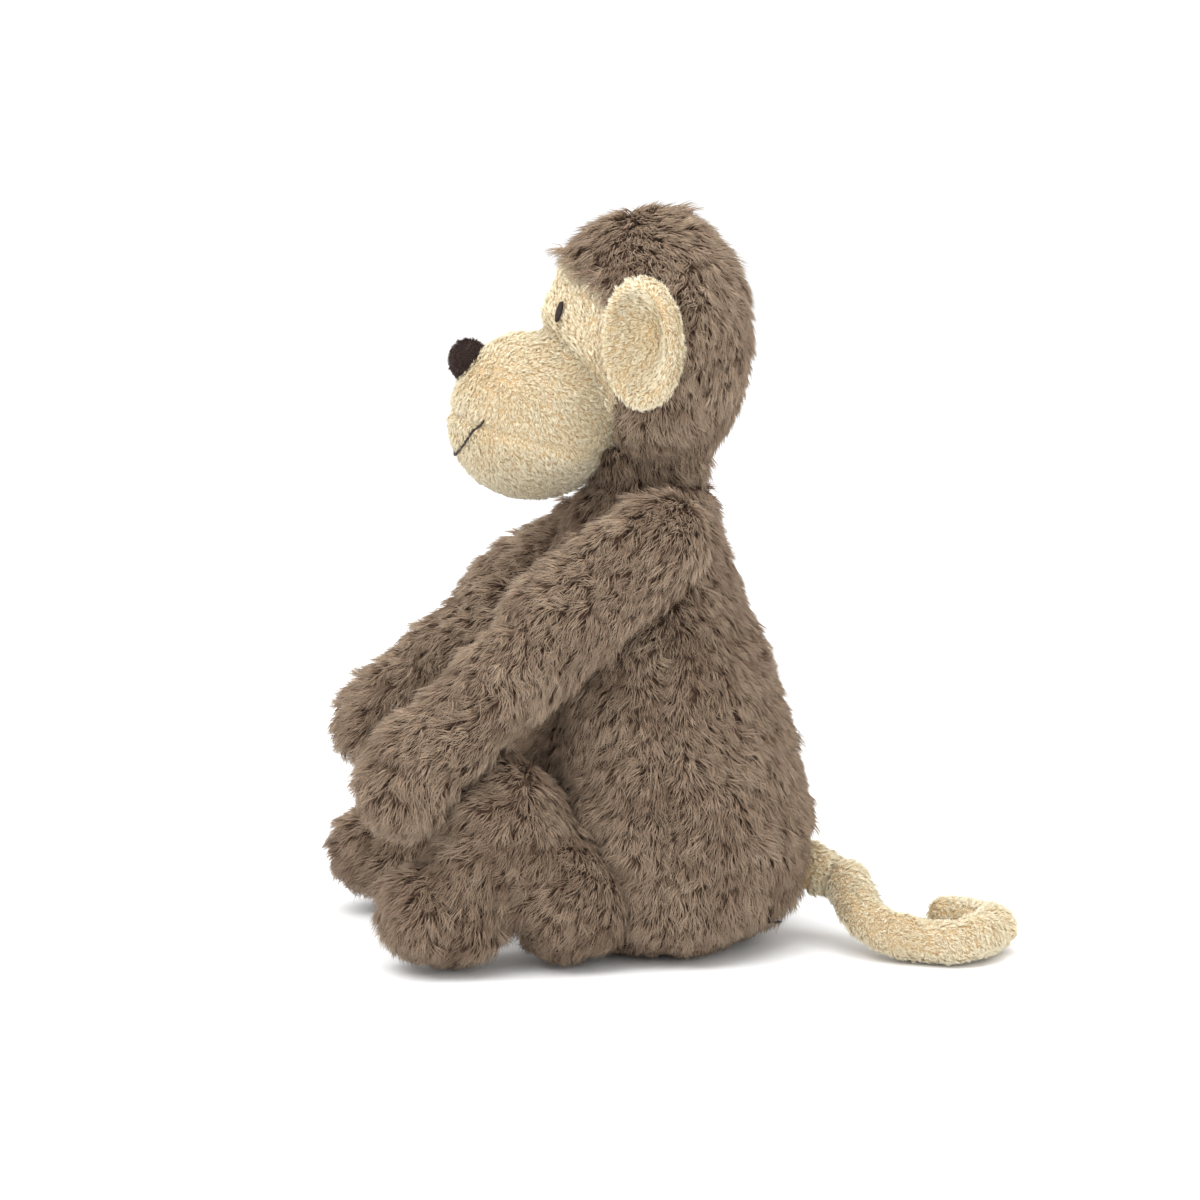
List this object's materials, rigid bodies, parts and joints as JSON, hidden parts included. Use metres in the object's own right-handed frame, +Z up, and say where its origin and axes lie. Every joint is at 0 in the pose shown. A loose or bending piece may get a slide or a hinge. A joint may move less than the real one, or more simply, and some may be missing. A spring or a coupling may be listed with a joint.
{
  "type": "stuffed monkey",
  "caption": "Seated plush monkey with long arms over its knees, cream face, ears and tail, soft limbs that turn at the sewn seams",
  "frame": {"origin": "middle of the flat seat where it rests on the ground", "axes": "+Z up, the face looks along -Y, +X is the toy's own left side"},
  "size_m": [0.1125, 0.2057, 0.2235],
  "materials": {
    "brown_plush": "long pile",
    "cream_plush": "short pile",
    "polyester_stuffing": "loose fibre",
    "bean_bag_cloth": "woven",
    "bean_fill": "small pellets",
    "nose_velvet": "velvet",
    "dark_thread": "satin thread",
    "label_cloth": "woven satin"
  },
  "bodies": {
    "torso": {"torso_front_panel": "brown_plush", "torso_back_left_panel": "brown_plush", "torso_back_right_panel": "brown_plush", "torso_base_panel": "brown_plush", "torso_stuffing": "polyester_stuffing", "seat_bean_bag": "bean_bag_cloth", "seat_bean_fill": "bean_fill", "care_label": "label_cloth"},
    "neck": {"neck_sleeve": "brown_plush", "neck_stuffing": "polyester_stuffing"},
    "head": {"crown_gusset": "brown_plush", "head_left_panel": "brown_plush", "head_right_panel": "brown_plush", "face_panel": "cream_plush", "head_stuffing": "polyester_stuffing", "muzzle_upper_panel": "cream_plush", "muzzle_chin_panel": "cream_plush", "muzzle_stuffing": "polyester_stuffing", "nose": "nose_velvet", "mouth_stitch": "dark_thread", "eye_left": "dark_thread", "eye_right": "dark_thread"},
    "tail_root": {"tail_root_sleeve": "cream_plush", "tail_root_stuffing": "polyester_stuffing"},
    "tail": {"tail_sleeve": "cream_plush", "tail_stuffing": "polyester_stuffing"},
    "ear_left": {"ear_left_lining": "cream_plush", "ear_left_back": "cream_plush", "ear_left_stuffing": "polyester_stuffing"},
    "arm_left": {"arm_left_outer_panel": "brown_plush", "arm_left_inner_panel": "brown_plush", "arm_left_stuffing": "polyester_stuffing"},
    "leg_left": {"leg_left_outer_panel": "brown_plush", "leg_left_inner_panel": "brown_plush", "leg_left_stuffing": "polyester_stuffing", "leg_left_foot_panel": "brown_plush", "leg_left_foot_bean_fill": "bean_fill"},
    "ear_right": {"ear_right_lining": "cream_plush", "ear_right_back": "cream_plush", "ear_right_stuffing": "polyester_stuffing"},
    "arm_right": {"arm_right_outer_panel": "brown_plush", "arm_right_inner_panel": "brown_plush", "arm_right_stuffing": "polyester_stuffing"},
    "leg_right": {"leg_right_outer_panel": "brown_plush", "leg_right_inner_panel": "brown_plush", "leg_right_stuffing": "polyester_stuffing", "leg_right_foot_panel": "brown_plush", "leg_right_foot_bean_fill": "bean_fill"}
  },
  "joints": [
    {"name": "neck_turn", "type": "hinge", "parent": "torso", "child": "neck", "pos_m": [0, 0.005, 0.147], "axis": [0, 0, 1], "range_deg": [-20, 20]},
    {"name": "head_nod", "type": "hinge", "parent": "neck", "child": "head", "pos_m": [0, 0.005, 0.147], "axis": [1, 0, 0], "range_deg": [-9, 8]},
    {"name": "shoulder_left", "type": "hinge", "parent": "torso", "child": "arm_left", "pos_m": [0.032, 0.003, 0.1275], "axis": [-0.5733, -0.5803, 0.5785], "range_deg": [0, 50]},
    {"name": "shoulder_right", "type": "hinge", "parent": "torso", "child": "arm_right", "pos_m": [-0.032, 0.003, 0.1275], "axis": [-0.5711, 0.5485, -0.6107], "range_deg": [0, 50]},
    {"name": "hip_left", "type": "hinge", "parent": "torso", "child": "leg_left", "pos_m": [0.033, -0.024, 0.0185], "axis": [0, 0, 1], "range_deg": [0, 24]},
    {"name": "hip_right", "type": "hinge", "parent": "torso", "child": "leg_right", "pos_m": [-0.033, -0.024, 0.0185], "axis": [0, 0, -1], "range_deg": [0, 24]},
    {"name": "ear_fold_left", "type": "hinge", "parent": "head", "child": "ear_left", "pos_m": [0.03123, -0.009, 0.1885], "axis": [0, 0, 1], "range_deg": [-24, 24]},
    {"name": "ear_fold_right", "type": "hinge", "parent": "head", "child": "ear_right", "pos_m": [-0.03123, -0.009, 0.1885], "axis": [0, 0, -1], "range_deg": [-24, 24]},
    {"name": "tail_swing", "type": "hinge", "parent": "torso", "child": "tail_root", "pos_m": [0, 0.049, 0.022], "axis": [0, 0, 1], "range_deg": [-25, 25]},
    {"name": "tail_lift", "type": "hinge", "parent": "tail_root", "child": "tail", "pos_m": [0.009, 0.0625, 0.0185], "axis": [0.8, -0.6, 0], "range_deg": [0, 25]}
  ]
}
